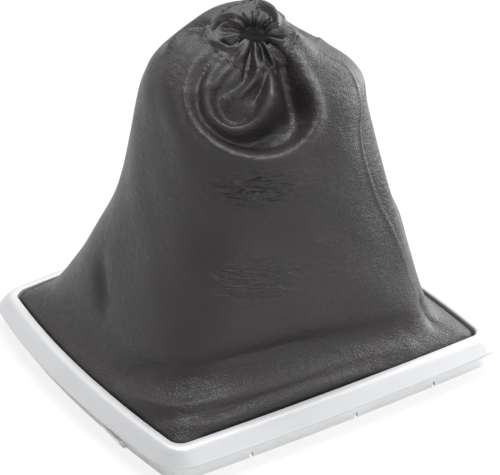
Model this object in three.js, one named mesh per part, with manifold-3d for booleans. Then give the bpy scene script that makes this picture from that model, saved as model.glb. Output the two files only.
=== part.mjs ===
// Gear lever gaiter: a gathered leather sleeve stapled to a clip-in surround with a silver trim.
// Millimetres, +Z up. X runs along the surround's long side and -Y is its front.
// The origin is the middle of the surround, on the plane of the skirt's lower edge.
import * as THREE from 'three';
import { mergeVertices } from 'three/addons/utils/BufferGeometryUtils.js';
import Module from 'manifold-3d';

// Surround outline, measured at the trim's outer edge
const length = 150;
const depth = 141;
const cornerRadius = 11;
const sideBow = 5.6;
const frontBow = 1.7;
const backBow = 8;
const smallestRadius = 4;

// Clearance between pieces that touch on the real part
const fitGap = 0.3;

// Silver trim
const trimWidth = 8.4;
const trimWall = 1.5;
const trimEdgeHeight = 6.8;
const trimCrestHeight = 11.4;
const trimLipWall = 1.4;
const trimLipHeight = 10.6;
const trimShoulder = 4.2;

// Inner frame: a skirt with a flange on top
const skirtInset = 4;
const skirtWall = 1.2;
const flangeWidth = 4.7;
const flangeThickness = 2.1;
const flangeTop = 6.7;

// Pegs under the trim and their blind sockets in the flange
const pegRadius = 1.1;
const pegInset = 6.2;
const socketDepth = 1.5;
const pegPlaces = [0.06, 0.19, 0.31, 0.44, 0.56, 0.69, 0.81, 0.94];

// Notches in the front of the skirt, and the snap barbs on its left and right
const notchWidth = 1.4;
const notchHeight = 1.9;
const notchPlaces = [-38, 4, 38];
const barbWidth = 12;
const barbReach = 2;
const barbHeight = 3.4;
const barbNose = 1;
const barbPlace = -33;

// Leather sleeve
const leather = 1.2;
const sleeveGap = 0.7;
const sleeveHeight = 124;
const shoulderRadius = 40;
const neckRadius = 7.6;
const neckX = 4.5;
const neckY = -3;
const pouchAngle = -120;

// Gathered neck: the leather rolls over into a hem that holds an elastic ring
const rollRadius = 2.3;
const hemFlap = 1.1;
const hemMouth = 0.4;
const hemSections = 1.1;
const elasticRadius = 0.7;
const pleatCount = 13;
const pleatHeight = 1.3;
const pleatSections = 2.1;

// Staples that hold the sleeve's lower hem to the flange
const stapleCount = 16;
const stapleCrown = 8;
const stapleLeg = 3.2;
const stapleWire = 0.6;
const stapleDepth = 0.8;
const stapleInset = 7.2;

// Steps of the faceted surfaces
const cornerSteps = 7;
const sideSteps = 8;
const sleeveCornerSteps = 3;
const sleeveSideSteps = 13;
const elasticSides = 6;

const wasm = await Module();
wasm.setup();

const radians = THREE.MathUtils.degToRad;
const halfLength = length / 2;
const halfDepth = depth / 2;
const flangeBottom = flangeTop - flangeThickness;
const flangeEdge = skirtInset + flangeWidth;
const hemEdge = skirtInset + skirtWall + fitGap;

// A point of the outline before its sides are bowed, moved onto the bowed outline
function bowed(x, y) {
  const bow = y < 0 ? frontBow : backBow;
  return new THREE.Vector2(
    x * (1 - (sideBow / halfLength) * (y / halfDepth) ** 2),
    y * (1 - (bow / halfDepth) * (x / halfLength) ** 2),
  );
}

// The closed outline, moved inwards by an inset, counter-clockwise from the right end of the front
function outline(inset, arcSteps = cornerSteps, lineSteps = sideSteps) {
  const radius = Math.max(cornerRadius - inset, smallestRadius);
  const armX = halfLength - inset - radius;
  const armY = halfDepth - inset - radius;
  const corners = [[1, -1, -1], [1, 1, 0], [-1, 1, 1], [-1, -1, 2]];
  const arcs = corners.map(([sideX, sideY, quarters]) => {
    const arc = [];
    for (let step = 0; step <= arcSteps; step += 1) {
      const angle = (quarters + step / arcSteps) * (Math.PI / 2);
      arc.push([sideX * armX + radius * Math.cos(angle), sideY * armY + radius * Math.sin(angle)]);
    }
    return arc;
  });
  const points = [];
  arcs.forEach((arc, index) => {
    points.push(...arc);
    const from = arc[arcSteps];
    const to = arcs[(index + 1) % arcs.length][0];
    for (let step = 1; step < lineSteps; step += 1) {
      const share = step / lineSteps;
      points.push([from[0] + (to[0] - from[0]) * share, from[1] + (to[1] - from[1]) * share]);
    }
  });
  return points.map(([x, y]) => bowed(x, y));
}

// Distance from the middle of the surround to an outline in one direction
function outlineReach(points, angle) {
  const direction = new THREE.Vector2(Math.cos(angle), Math.sin(angle));
  for (let index = 0; index < points.length; index += 1) {
    const from = points[index];
    const to = points[(index + 1) % points.length];
    const before = direction.cross(from);
    const after = direction.cross(to);
    const facing = direction.dot(from) > 0;
    if (facing && before <= 0 && after > 0) {
      const share = before / (before - after);
      return from.clone().lerp(to, share).length();
    }
  }
  return points[0].length();
}

// A place on the outline by its share of the way round, with the direction along it
function outlinePlace(inset, share) {
  const points = outline(inset, 24, 24);
  const steps = points.map((point, index) => point.distanceTo(points[(index + 1) % points.length]));
  const total = steps.reduce((sum, step) => sum + step, 0);
  let left = (((share % 1) + 1) % 1) * total;
  let index = 0;
  while (left > steps[index]) {
    left -= steps[index];
    index += 1;
  }
  const from = points[index];
  const to = points[(index + 1) % points.length];
  const point = from.clone().lerp(to, left / steps[index]);
  return { point, angle: Math.atan2(to.y - from.y, to.x - from.x) };
}

// Joins closed rows of points into one closed ring-shaped mesh, each quad split along its shorter diagonal
function ringMesh(rows) {
  const count = rows[0].length;
  const points = rows.flat();
  const positions = points.flatMap((point) => [point.x, point.y, point.z]);
  const indices = [];
  rows.forEach((row, rowIndex) => {
    const next = (rowIndex + 1) % rows.length;
    for (let index = 0; index < count; index += 1) {
      const beside = (index + 1) % count;
      const a = rowIndex * count + index;
      const b = rowIndex * count + beside;
      const c = next * count + beside;
      const d = next * count + index;
      if (points[a].distanceTo(points[c]) < points[b].distanceTo(points[d])) {
        indices.push(a, b, c, a, c, d);
      } else {
        indices.push(a, b, d, b, c, d);
      }
    }
  });
  const geometry = new THREE.BufferGeometry();
  geometry.setAttribute('position', new THREE.Float32BufferAttribute(positions, 3));
  geometry.setIndex(indices);
  return geometry;
}

// A ring of one section, given as insets and heights, run round the surround's outline
function surroundRing(section) {
  return ringMesh(section.map(([inset, height]) =>
    outline(inset).map((point) => new THREE.Vector3(point.x, point.y, height))));
}

function toManifold(geometry) {
  const bare = geometry.clone();
  bare.deleteAttribute('normal');
  bare.deleteAttribute('uv');
  const merged = mergeVertices(bare);
  return new wasm.Manifold(new wasm.Mesh({
    numProp: 3,
    vertProperties: new Float32Array(merged.attributes.position.array),
    triVerts: new Uint32Array(merged.index.array),
  }));
}

function toGeometry(solid) {
  const mesh = solid.getMesh();
  const geometry = new THREE.BufferGeometry();
  geometry.setAttribute('position', new THREE.BufferAttribute(mesh.vertProperties, 3));
  geometry.setIndex(new THREE.BufferAttribute(mesh.triVerts, 1));
  return geometry;
}

function joined(geometry, additions) {
  return toGeometry(additions.reduce((solid, piece) => solid.add(toManifold(piece)), toManifold(geometry)));
}

function cut(geometry, cutters) {
  return toGeometry(cutters.reduce((solid, piece) => solid.subtract(toManifold(piece)), toManifold(geometry)));
}

// A box with its middle at a place on the plan, turned about Z
function box(width, thickness, bottom, top, point, angle) {
  const geometry = new THREE.BoxGeometry(width, thickness, top - bottom);
  geometry.rotateZ(angle);
  geometry.translate(point.x, point.y, (bottom + top) / 2);
  return geometry;
}

function post(radius, bottom, top, point) {
  const geometry = new THREE.CylinderGeometry(radius, radius, top - bottom, 12);
  geometry.rotateX(Math.PI / 2);
  geometry.translate(point.x, point.y, (bottom + top) / 2);
  return geometry;
}

// Silver trim: an open-backed moulding that slopes down outwards, with a lip against the leather
function trimBezel() {
  const under = trimCrestHeight - trimWall;
  const lipInner = trimWidth - trimLipWall;
  const ring = surroundRing([
    [0.2, trimEdgeHeight],
    [0, trimEdgeHeight + 0.4],
    [0.5, trimEdgeHeight + 1],
    [trimShoulder, trimCrestHeight - 0.7],
    [trimShoulder + 1, trimCrestHeight - 0.2],
    [trimWidth - trimLipWall, trimCrestHeight],
    [trimWidth - 0.4, trimCrestHeight - 0.2],
    [trimWidth, trimLipHeight],
    [trimWidth, flangeTop + fitGap],
    [lipInner, flangeTop + fitGap],
    [lipInner, under - 0.4],
    [trimShoulder + 1.2, under - 0.2],
    [trimShoulder + 0.2, under - 1],
    [trimWall + 0.7, trimEdgeHeight + 0.4],
    [trimWall + 0.4, trimEdgeHeight],
  ]);
  const pegBottom = flangeTop - socketDepth + fitGap;
  const pegs = pegPlaces.map((place) =>
    post(pegRadius, pegBottom, under + trimWall / 2, outlinePlace(pegInset, place).point));
  return joined(ring, pegs);
}

// Inner frame: skirt, flange, snap barbs, notches, sockets for the pegs and pockets for the staples
function carrierFrame() {
  const ring = surroundRing([
    [skirtInset, 0],
    [skirtInset, flangeTop],
    [flangeEdge, flangeTop],
    [flangeEdge, flangeBottom],
    [skirtInset + skirtWall, flangeBottom],
    [skirtInset + skirtWall, 0],
  ]);
  const sockets = pegPlaces.map((place) =>
    post(pegRadius + fitGap, flangeTop - socketDepth, flangeTop + 1, outlinePlace(pegInset, place).point));
  const notches = notchPlaces.map((place) => {
    const point = new THREE.Vector2(place, skirtInset - halfDepth);
    return box(notchWidth, 4 * skirtWall, -1, notchHeight, point, 0);
  });
  const body = cut(ring, [...sockets, ...notches, ...staplePockets()]);
  return joined(body, [snapBarb(-1), snapBarb(1)]);
}

// A wedge on the left (-1) or right (1) of the skirt that slides past the console's edge and hooks under it
function snapBarb(side) {
  const face = bowed(halfLength - skirtInset, barbPlace).x;
  const wedge = new THREE.Shape([
    new THREE.Vector2(side * (face - skirtWall / 2), 0),
    new THREE.Vector2(side * (face + barbReach / 4), 0),
    new THREE.Vector2(side * (face + barbReach), barbHeight - barbNose),
    new THREE.Vector2(side * (face + barbReach), barbHeight),
    new THREE.Vector2(side * (face - skirtWall / 2), barbHeight),
  ]);
  const geometry = new THREE.ExtrudeGeometry(wedge, { depth: barbWidth, bevelEnabled: false });
  geometry.rotateX(Math.PI / 2);
  geometry.translate(0, barbPlace + barbWidth / 2, 0);
  return geometry;
}

// Where each staple stands: its middle on the plan and the direction of its crown
function staplePlaces() {
  return Array.from({ length: stapleCount }, (_, index) =>
    outlinePlace(stapleInset, (index + 0.5) / stapleCount));
}

// The two legs of one staple as boxes, grown by a clearance on every side
function stapleLegs({ point, angle }, clearance) {
  const along = new THREE.Vector2(Math.cos(angle), Math.sin(angle));
  const offset = (stapleCrown - stapleWire) / 2;
  const crownBottom = stapleBottom();
  return [-1, 1].map((side) => box(
    stapleWire + 2 * clearance,
    stapleDepth + 2 * clearance,
    crownBottom - clearance,
    crownBottom + stapleLeg + clearance,
    point.clone().addScaledVector(along, side * offset),
    angle,
  ));
}

function stapleBottom() {
  return hemBottom() - fitGap - stapleWire;
}

function staplePockets() {
  return staplePlaces().flatMap((place) => stapleLegs(place, fitGap));
}

function staple(place) {
  const crownBottom = stapleBottom();
  const crown = box(stapleCrown, stapleDepth, crownBottom, crownBottom + stapleWire, place.point, place.angle);
  return joined(crown, stapleLegs(place, 0));
}

// Heights of the sleeve's lower hem, which is turned outwards under the flange
function hemTop() {
  return flangeBottom - fitGap;
}

function hemBottom() {
  return hemTop() - leather;
}

// Sections of the sleeve between the surround and the neck. Each lower one has its height as a share
// of the sleeve's, its half lengths as shares of the surround's, how square its corners are and how
// far its middle has moved to the neck's.
const lowerSections = [
  { height: 0.129, halfX: 0.78, halfY: 0.787, squareness: 5, shift: 0.02 },
  { height: 0.226, halfX: 0.731, halfY: 0.742, squareness: 3.6, shift: 0.35 },
  { height: 0.323, halfX: 0.687, halfY: 0.702, squareness: 3, shift: 0.7 },
  { height: 0.419, halfX: 0.633, halfY: 0.645, squareness: 2.8, shift: 1 },
];

// Each upper one has a radius, as a share of the shoulder's, and a height, as a share of the
// sleeve's, towards the pouch, its right, its back and its left
const neckShare = neckRadius / shoulderRadius;
const upperSections = [
  { pouch: [1.095, 0.516], right: [1.107, 0.516], back: [1.062, 0.516], left: [1.137, 0.516], squareness: 2.6 },
  { pouch: [1.045, 0.597], right: [1.025, 0.629], back: [1, 0.661], left: [1.057, 0.629], squareness: 2.5 },
  { pouch: [1.007, 0.665], right: [0.95, 0.742], back: [0.925, 0.774], left: [0.98, 0.742], squareness: 2.4 },
  { pouch: [0.938, 0.726], right: [0.9, 0.823], back: [0.825, 0.871], left: [0.932, 0.819], squareness: 2.3 },
  { pouch: [0.787, 0.778], right: [0.787, 0.867], back: [0.675, 0.935], left: [0.838, 0.875], squareness: 2.2 },
  { pouch: [0.575, 0.831], right: [0.55, 0.907], back: [0.487, 0.96], left: [0.625, 0.919], squareness: 2 },
  { pouch: [0.362, 0.883], right: [0.35, 0.944], back: [0.338, 0.974], left: [0.388, 0.944], squareness: 2 },
  {
    pouch: [neckShare, 0.923],
    right: [neckShare, 0.948],
    back: [neckShare, 0.972],
    left: [neckShare, 0.948],
    squareness: 2,
  },
];

// Inset and height of the sleeve where it passes the trim's lip
const lipSections = [
  [trimWidth + sleeveGap, flangeTop - 1.5],
  [trimWidth + sleeveGap + 0.3, trimLipHeight - 0.6],
];
const lipOutlines = lipSections.map(([inset]) => outline(inset, 16, 16));
const surroundSections = lipSections.length;
const neckSection = surroundSections + lowerSections.length + upperSections.length - 1;

function superellipse(angle, halfX, halfY, squareness) {
  const sum = Math.abs(Math.cos(angle) / halfX) ** squareness + Math.abs(Math.sin(angle) / halfY) ** squareness;
  return sum ** (-1 / squareness);
}

// The point of one section in one direction
function sectionPoint(index, angle) {
  if (index < surroundSections) {
    const reach = outlineReach(lipOutlines[index], angle);
    return new THREE.Vector3(reach * Math.cos(angle), reach * Math.sin(angle), lipSections[index][1]);
  }
  if (index < surroundSections + lowerSections.length) {
    const section = lowerSections[index - surroundSections];
    const { halfX, halfY, squareness } = section;
    const reach = superellipse(angle, halfX * halfLength, halfY * halfDepth, squareness);
    return new THREE.Vector3(
      neckX * section.shift + reach * Math.cos(angle),
      neckY * section.shift + reach * Math.sin(angle),
      section.height * sleeveHeight,
    );
  }
  const section = upperSections[index - surroundSections - lowerSections.length];
  const turn = angle - radians(pouchAngle);
  const alongPouch = Math.cos(turn) ** 2;
  const across = Math.sin(turn) ** 2;
  const nearer = Math.cos(turn) > 0 ? section.pouch : section.back;
  const beside = Math.sin(turn) > 0 ? section.right : section.left;
  const corners = superellipse(angle, 1, 1, section.squareness);
  const middleCorners = (1 + Math.SQRT2 / 2 ** (1 / section.squareness)) / 2;
  const radius = (alongPouch * nearer[0] + across * beside[0]) * shoulderRadius;
  const reach = (radius * corners) / middleCorners;
  return new THREE.Vector3(
    neckX + reach * Math.cos(angle),
    neckY + reach * Math.sin(angle),
    (alongPouch * nearer[1] + across * beside[1]) * sleeveHeight,
  );
}

// A point of the smooth sleeve: its direction from the middle and its place between the sections
function sleevePoint(angle, place) {
  const limited = THREE.MathUtils.clamp(place, 0, neckSection);
  const index = Math.min(Math.floor(limited), neckSection - 1);
  const share = limited - index;
  const here = sectionPoint(index, angle);
  const next = sectionPoint(index + 1, angle);
  const before = index > 0
    ? sectionPoint(index - 1, angle)
    : here.clone().multiplyScalar(2).sub(next);
  const after = index > 0 && index + 2 <= neckSection
    ? sectionPoint(index + 2, angle)
    : next.clone().multiplyScalar(2).sub(here);
  const blend = (a, b, c, d) => 0.5 * (2 * b + (c - a) * share
    + (2 * a - 5 * b + 4 * c - d) * share ** 2
    + (3 * b - a - 3 * c + d) * share ** 3);
  return new THREE.Vector3(
    blend(before.x, here.x, next.x, after.x),
    blend(before.y, here.y, next.y, after.y),
    blend(before.z, here.z, next.z, after.z),
  );
}

// The outward normal of the smooth sleeve, and the direction up along it
function sleeveFrame(angle, place) {
  const step = 0.02;
  const low = Math.max(place - step, 0);
  const high = Math.min(place + step, neckSection);
  const around = sleevePoint(angle + step, place).sub(sleevePoint(angle - step, place));
  const along = sleevePoint(angle, high).sub(sleevePoint(angle, low)).normalize();
  const normal = around.cross(along).normalize();
  return { normal, along };
}

// Folds of the leather: lines of places on the smooth sleeve (direction in degrees, section), with
// how far each stands proud (or, below zero, sinks in) and how wide it is
const folds = [
  // the rim of the pouch in front of the neck, and the groove inside it
  { height: 2.2, width: 4, line: [[-183, 11.9], [-176, 10.8], [-169, 10.2], [-156, 9.5], [-137, 9],
    [-119, 8.7], [-99, 8.75], [-85, 9.3], [-77, 10.3], [-71, 11.3], [-67, 12]] },
  { height: -3, width: 3.8, line: [[-172, 11.8], [-165, 11], [-161, 10.4], [-152, 9.95], [-140, 9.7],
    [-128, 9.5], [-116, 9.45], [-104, 9.6], [-94, 10.1], [-88, 10.8], [-84, 11.6], [-82, 12]] },
  { height: -3, width: 5, line: [[-86, 11.8], [-90, 11], [-98, 10.3]] },
  // the lobe below the gathers and the fold that runs down to it
  { height: 2.4, width: 3.6, line: [[-160, 11.7], [-160, 10.9], [-149, 10.2], [-130, 10.2], [-120, 10.4],
    [-113, 10.7], [-108, 11.1], [-110, 11.7]] },
  { height: 1.8, width: 1.8, line: [[-116, 12.5], [-126, 11.6], [-136, 11]] },
  // the hollow behind the neck's right, the flap in front of it and the shoulder fold on the left
  { height: -3.5, width: 9, line: [[-2, 10.4], [12, 10.8], [26, 11.3]] },
  { height: 3.6, width: 6.5, line: [[4, 12.3], [26, 12], [56, 11.7], [84, 11.5], [106, 11.3], [128, 11.1],
    [142, 11]] },
  { height: 2.2, width: 3.5, line: [[-18, 12.8], [-36, 12.3], [-42, 11.8]] },
  { height: 2.2, width: 2.4, line: [[153, 10.6], [143, 11.1], [140, 11.7], [150, 12.3]] },
  { height: -2.6, width: 3, line: [[137, 10.8], [129, 11.4], [128, 12]] },
  // folds over the front of the surround
  { height: 2.2, width: 3.6, line: [[-150, 1.8], [-134, 2.3], [-120, 2.4], [-102, 2.25], [-81, 2.2], [-62, 2]] },
  { height: -1.8, width: 4, line: [[-156, 2.5], [-121, 3.1], [-81, 2.8], [-60, 2.5]] },
  { height: 1.4, width: 2.6, line: [[-138, 1.3], [-120, 1.5], [-104, 1.55], [-80, 1.45]] },
  // creases that rise from the surround's corners
  { height: -2, width: 2.8, line: [[161, 4], [169, 3.4], [178, 2.8]] },
  { height: -1.6, width: 2.6, line: [[-45, 2.7], [-47, 1.7]] },
  // soft upright folds on the right flank and the back
  { height: 1.6, width: 6, line: [[-50, 3.5], [-48, 6], [-45, 8.6]] },
  { height: 1.8, width: 6, line: [[88, 2.2], [80, 5], [72, 8.5]] },
  { height: -1.8, width: 6, line: [[62, 2.2], [58, 5], [52, 8.5]] },
  { height: -1.6, width: 5, line: [[112, 2.2], [106, 5], [104, 8]] },
  { height: 1.6, width: 5, line: [[18, 1.8], [12, 4.5], [14, 7.5]] },
  { height: -1.5, width: 4.5, line: [[-8, 1.8], [-12, 4.5], [-8, 7]] },
];
const foldSteps = 24;
const innerFoldWidth = 2.5;

// Each fold's line as points in space, so that its distance can be measured
const foldLines = folds.map((fold) => {
  const through = fold.line.map(([degrees, place]) => sleevePoint(radians(degrees), place));
  return { ...fold, points: new THREE.CatmullRomCurve3(through).getPoints(foldSteps) };
});

// How far one fold lifts the leather at a point, fading at the ends of its line
function foldLift(fold, point) {
  const segment = new THREE.Line3();
  const nearest = new THREE.Vector3();
  let best = Infinity;
  let along = 0;
  for (let index = 0; index < foldSteps; index += 1) {
    segment.set(fold.points[index], fold.points[index + 1]);
    const share = segment.closestPointToPointParameter(point, true);
    segment.at(share, nearest);
    const distance = nearest.distanceTo(point);
    if (distance < best) {
      best = distance;
      along = (index + share) / foldSteps;
    }
  }
  const fade = Math.sqrt(Math.max(Math.sin(Math.PI * THREE.MathUtils.clamp(along, 0.02, 0.98)), 0));
  return fold.height * fade * Math.exp(-((best / fold.width) ** 2));
}

// Gathers round the neck, from nothing at the pouch to their full height at the opening
function pleatLift(angle, place) {
  const warp = 0.5 * Math.sin(angle + 1) + 0.35 * Math.sin(3 * angle);
  const wave = Math.abs(Math.cos((pleatCount * angle) / 2 + warp)) ** 0.8;
  return pleatHeight * wave * THREE.MathUtils.smoothstep(place, neckSection - pleatSections, neckSection);
}

// A point of one layer of the sleeve, an offset away from its smooth form along the normal. Only the
// outer face has the narrow folds and the gathers; the broad folds run through every layer.
function layerPoint(angle, place, offset, outerFace) {
  const point = sleevePoint(angle, place);
  const { normal } = sleeveFrame(angle, place);
  const lift = foldLines
    .filter((fold) => outerFace || fold.width >= innerFoldWidth)
    .reduce((sum, fold) => sum + foldLift(fold, point), 0);
  const start = THREE.MathUtils.smoothstep(place, 1, 2);
  const gathers = outerFace ? pleatLift(angle, place) : 0;
  return point.addScaledVector(normal, lift * start + gathers + offset);
}

// A point of the roll at the neck: a half turn of one radius about the roll's middle
function rollPoint(angle, turn, radius, outerFace) {
  const { normal, along } = sleeveFrame(angle, neckSection);
  const lifted = radius + (outerFace ? pleatLift(angle, neckSection) * Math.cos(turn / 2) : 0);
  return layerPoint(angle, neckSection, -rollRadius, false)
    .addScaledVector(along, lifted * Math.sin(turn))
    .addScaledVector(normal, lifted * Math.cos(turn));
}

// A point of the lower hem, where the sleeve follows the surround
function hemPoint(angle, inset, height) {
  const reach = outlineReach(outline(inset, 16, 16), angle);
  return new THREE.Vector3(reach * Math.cos(angle), reach * Math.sin(angle), height);
}

const spread = (from, to, steps) =>
  Array.from({ length: steps + 1 }, (_, step) => from + ((to - from) * step) / steps);

// One row of the sleeve for each step round its section: out along the lower hem, up the outer face,
// over the roll, along the neck's hem and back, and down the inner face
function sleeveRows() {
  const outerPlaces = [...spread(0.6, 8, 11), ...spread(8.35, neckSection, 13)];
  const innerPlaces = [...spread(neckSection, 8, 9), ...spread(7.4, 1.4, 6)];
  const hemPlaces = spread(neckSection, neckSection - hemSections, 3);
  const flapLow = (place) => {
    const share = (neckSection - place) / hemSections;
    return THREE.MathUtils.lerp(-2 * rollRadius, -(leather + hemMouth + hemFlap), share);
  };
  const hemOuter = flangeEdge + fitGap;
  const hemInner = trimWidth + sleeveGap + leather;
  const hemRow = (inset, height) => ({ place: 0, make: (angle) => hemPoint(angle, inset, height) });
  const layerRow = (place, offset, outerFace) =>
    ({ place, make: (angle) => layerPoint(angle, place, offset, outerFace) });
  const rollRow = (turn, radius, outerFace) =>
    ({ place: neckSection, make: (angle) => rollPoint(angle, turn, radius, outerFace) });
  const makers = [
    hemRow(hemOuter + leather, hemBottom()),
    hemRow(hemEdge, hemBottom()),
    hemRow(hemEdge, hemTop()),
    hemRow(hemOuter - fitGap, hemTop()),
    hemRow(hemOuter, hemTop() + fitGap),
    ...outerPlaces.map((place) => layerRow(place, 0, true)),
    ...spread(0, Math.PI, 5).slice(1, 5).map((turn) => rollRow(turn, rollRadius, true)),
    ...hemPlaces.map((place) => layerRow(place, flapLow(place), false)),
    ...hemPlaces.slice().reverse().map((place) => layerRow(place, flapLow(place) + hemFlap, false)),
    ...spread(Math.PI, 0, 4).slice(1, 4).map((turn) => rollRow(turn, rollRadius - leather, false)),
    ...innerPlaces.map((place) => layerRow(place, -leather, false)),
    hemRow(hemInner + fitGap, trimLipHeight - 2.8),
    hemRow(hemInner + fitGap, hemTop() + fitGap),
  ];
  return makers.map(({ place, make }) => columnAngles(place).map((angle) => make(angle)));
}

// Directions of the sleeve's columns: at the surround they follow its outline, with some in each
// corner, and at the neck they are evenly spaced
function columnAngles(place) {
  const points = outline(lipSections[1][0], sleeveCornerSteps, sleeveSideSteps);
  const even = (2 * Math.PI) / points.length;
  const share = THREE.MathUtils.smoothstep(place, 1, 6);
  return points.map((point, index) => {
    const neckAngle = (index - sleeveCornerSteps / 2) * even - Math.PI / 4;
    const turn = Math.atan2(point.y, point.x) - neckAngle;
    const nearest = Math.atan2(Math.sin(turn), Math.cos(turn));
    return neckAngle + nearest * (1 - share);
  });
}

function leatherSleeve() {
  return cut(ringMesh(sleeveRows()), staplePockets());
}

// Elastic ring inside the neck's hem
function neckElastic() {
  const rows = spread(0, 2 * Math.PI, elasticSides).slice(0, elasticSides).map((turn) =>
    columnAngles(neckSection).map((angle) => rollPoint(angle, turn, elasticRadius, false)));
  return ringMesh(rows);
}

const finishes = {
  silver: new THREE.MeshStandardMaterial({ color: '#c6c8ca', roughness: 0.38, metalness: 0.55 }),
  frame: new THREE.MeshStandardMaterial({ color: '#b9bbbd', roughness: 0.5, metalness: 0.1 }),
  leather: new THREE.MeshStandardMaterial({ color: '#373336', roughness: 0.55, metalness: 0 }),
  elastic: new THREE.MeshStandardMaterial({ color: '#1c1c1d', roughness: 0.8, metalness: 0 }),
  steel: new THREE.MeshStandardMaterial({ color: '#a9a9a6', roughness: 0.35, metalness: 1 }),
};

const gaiter = new THREE.Group();

function addPiece(name, geometry, material) {
  const mesh = new THREE.Mesh(geometry, material);
  mesh.name = name;
  gaiter.add(mesh);
}

addPiece('trim_bezel', trimBezel(), finishes.silver);
addPiece('carrier_frame', carrierFrame(), finishes.frame);
addPiece('leather_gaiter', leatherSleeve(), finishes.leather);
addPiece('neck_elastic', neckElastic(), finishes.elastic);
staplePlaces().forEach((place, index) => {
  addPiece(`hem_staple_${String(index + 1).padStart(2, '0')}`, staple(place), finishes.steel);
});

export default gaiter;
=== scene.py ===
import math

import bpy
import numpy as np
from mathutils import Matrix, Vector


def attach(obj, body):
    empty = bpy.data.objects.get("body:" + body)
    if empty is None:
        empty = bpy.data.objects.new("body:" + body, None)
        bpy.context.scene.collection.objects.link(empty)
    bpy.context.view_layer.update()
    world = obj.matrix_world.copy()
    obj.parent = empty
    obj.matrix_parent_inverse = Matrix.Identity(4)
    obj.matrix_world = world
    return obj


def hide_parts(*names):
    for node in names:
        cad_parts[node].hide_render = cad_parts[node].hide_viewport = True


# Gear lever gaiter. Lengths are millimetres until a mesh is made, then metres; materials, floor and
# lamps use metres. Directions are degrees about the vertical, 0 along +X and -90 towards the front.
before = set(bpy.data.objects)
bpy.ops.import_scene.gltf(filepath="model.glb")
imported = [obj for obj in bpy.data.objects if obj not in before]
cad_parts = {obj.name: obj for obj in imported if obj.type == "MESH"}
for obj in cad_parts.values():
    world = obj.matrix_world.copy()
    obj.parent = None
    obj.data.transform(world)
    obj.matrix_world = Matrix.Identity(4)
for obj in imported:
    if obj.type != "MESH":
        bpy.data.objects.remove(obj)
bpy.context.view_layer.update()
MM = 0.001
# The least length that anything is divided by
TINY = 1e-9

# Camera: where it stands, the direction behind it, its lens and sensor in millimetres, and the nearest
# and farthest that it sees in metres
EYE = Vector((-261.33, -403.62, 289.36)) * MM
BACK = Vector((-0.4892, -0.7415, 0.4592)).normalized()
LENS = 109.33
SENSOR = 36
NEAREST = 0.01
FARTHEST = 20


def set_camera():
    """The camera that the photo was taken from."""
    right = Vector((0, 0, 1)).cross(BACK).normalized()
    up = BACK.cross(right)
    data = bpy.data.cameras.new("view")
    data.sensor_fit = "HORIZONTAL"
    data.sensor_width = SENSOR
    data.lens = LENS
    data.clip_start = NEAREST
    data.clip_end = FARTHEST
    camera = bpy.data.objects.new("view", data)
    bpy.context.scene.collection.objects.link(camera)
    camera.matrix_world = Matrix((
        (right.x, up.x, BACK.x, EYE.x),
        (right.y, up.y, BACK.y, EYE.y),
        (right.z, up.z, BACK.z, EYE.z),
        (0, 0, 0, 1),
    ))
    bpy.context.scene.camera = camera


# Surround, trim and inner frame
LENGTH = 150
DEPTH = 141
CORNER_RADIUS = 11
SIDE_BOW = 5.6
FRONT_BOW = 1.7
BACK_BOW = 8
SMALLEST_RADIUS = 4
FIT_GAP = 0.3
TRIM_WIDTH = 8.4
TRIM_WALL = 1.5
TRIM_EDGE = 6.8
TRIM_CREST = 11.4
TRIM_LIP_WALL = 1.4
TRIM_LIP = 10.6
TRIM_SHOULDER = 4.2
SKIRT_INSET = 4
SKIRT_WALL = 1.2
FLANGE_WIDTH = 4.7
FLANGE_TOP = 6.7
FLANGE_BOTTOM = 4.6
OUTLINE_STEPS = 16


def outline(inset, arc_steps, line_steps):
    """The bowed outline of the surround, counter-clockwise from the right end of the front."""
    half_length = LENGTH / 2
    half_depth = DEPTH / 2
    radius = max(CORNER_RADIUS - inset, SMALLEST_RADIUS)
    arm_x = half_length - inset - radius
    arm_y = half_depth - inset - radius
    arcs = []
    for side_x, side_y, start in ((1, -1, -90), (1, 1, 0), (-1, 1, 90), (-1, -1, 180)):
        turn = np.radians(start + 90 * np.arange(arc_steps + 1) / arc_steps)
        arcs.append(np.c_[side_x * arm_x + radius * np.cos(turn), side_y * arm_y + radius * np.sin(turn)])
    parts = []
    for index, arc in enumerate(arcs):
        after = arcs[(index + 1) % 4][0]
        share = (np.arange(1, line_steps) / line_steps)[:, None]
        parts += [arc, arc[-1] + (after - arc[-1]) * share]
    points = np.vstack(parts)
    x, y = points[:, 0], points[:, 1]
    bow = np.where(y < 0, FRONT_BOW, BACK_BOW)
    return np.c_[
        x * (1 - SIDE_BOW / half_length * (y / half_depth) ** 2),
        y * (1 - bow / half_depth * (x / half_length) ** 2),
    ]


def outline_reach(points, angles):
    """Distance from the middle to a closed outline in each direction."""
    turns = np.arctan2(points[:, 1], points[:, 0])
    first = int(np.argmin(turns))
    points = np.roll(points, -first, axis=0)
    turns = np.roll(turns, -first)
    wanted = np.arctan2(np.sin(angles), np.cos(angles))
    index = np.searchsorted(turns, wanted, side="right") - 1
    here = points[index % len(points)]
    after = points[(index + 1) % len(points)]
    ray = np.c_[np.cos(angles), np.sin(angles)]
    before = ray[:, 0] * here[:, 1] - ray[:, 1] * here[:, 0]
    beyond = ray[:, 0] * after[:, 1] - ray[:, 1] * after[:, 0]
    share = (before / (before - beyond))[:, None]
    return ((here + (after - here) * share) * ray).sum(axis=1)


# Sleeve: its leather and size, the middle of its neck and the direction of its pouch
LEATHER = 1.2
SLEEVE_GAP = 0.7
SLEEVE_HEIGHT = 124
SHOULDER_RADIUS = 40
NECK_RADIUS = 7.6
NECK = (4.5, -3.0)
POUCH = math.radians(-120)
# The neck's hem: its roll, the thickness of its flap, the gap beside the flap's edge and its place
ROLL_RADIUS = 2.3
HEM_FLAP = 1.1
HEM_MOUTH = 0.4
HEM_START = 11.9
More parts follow.
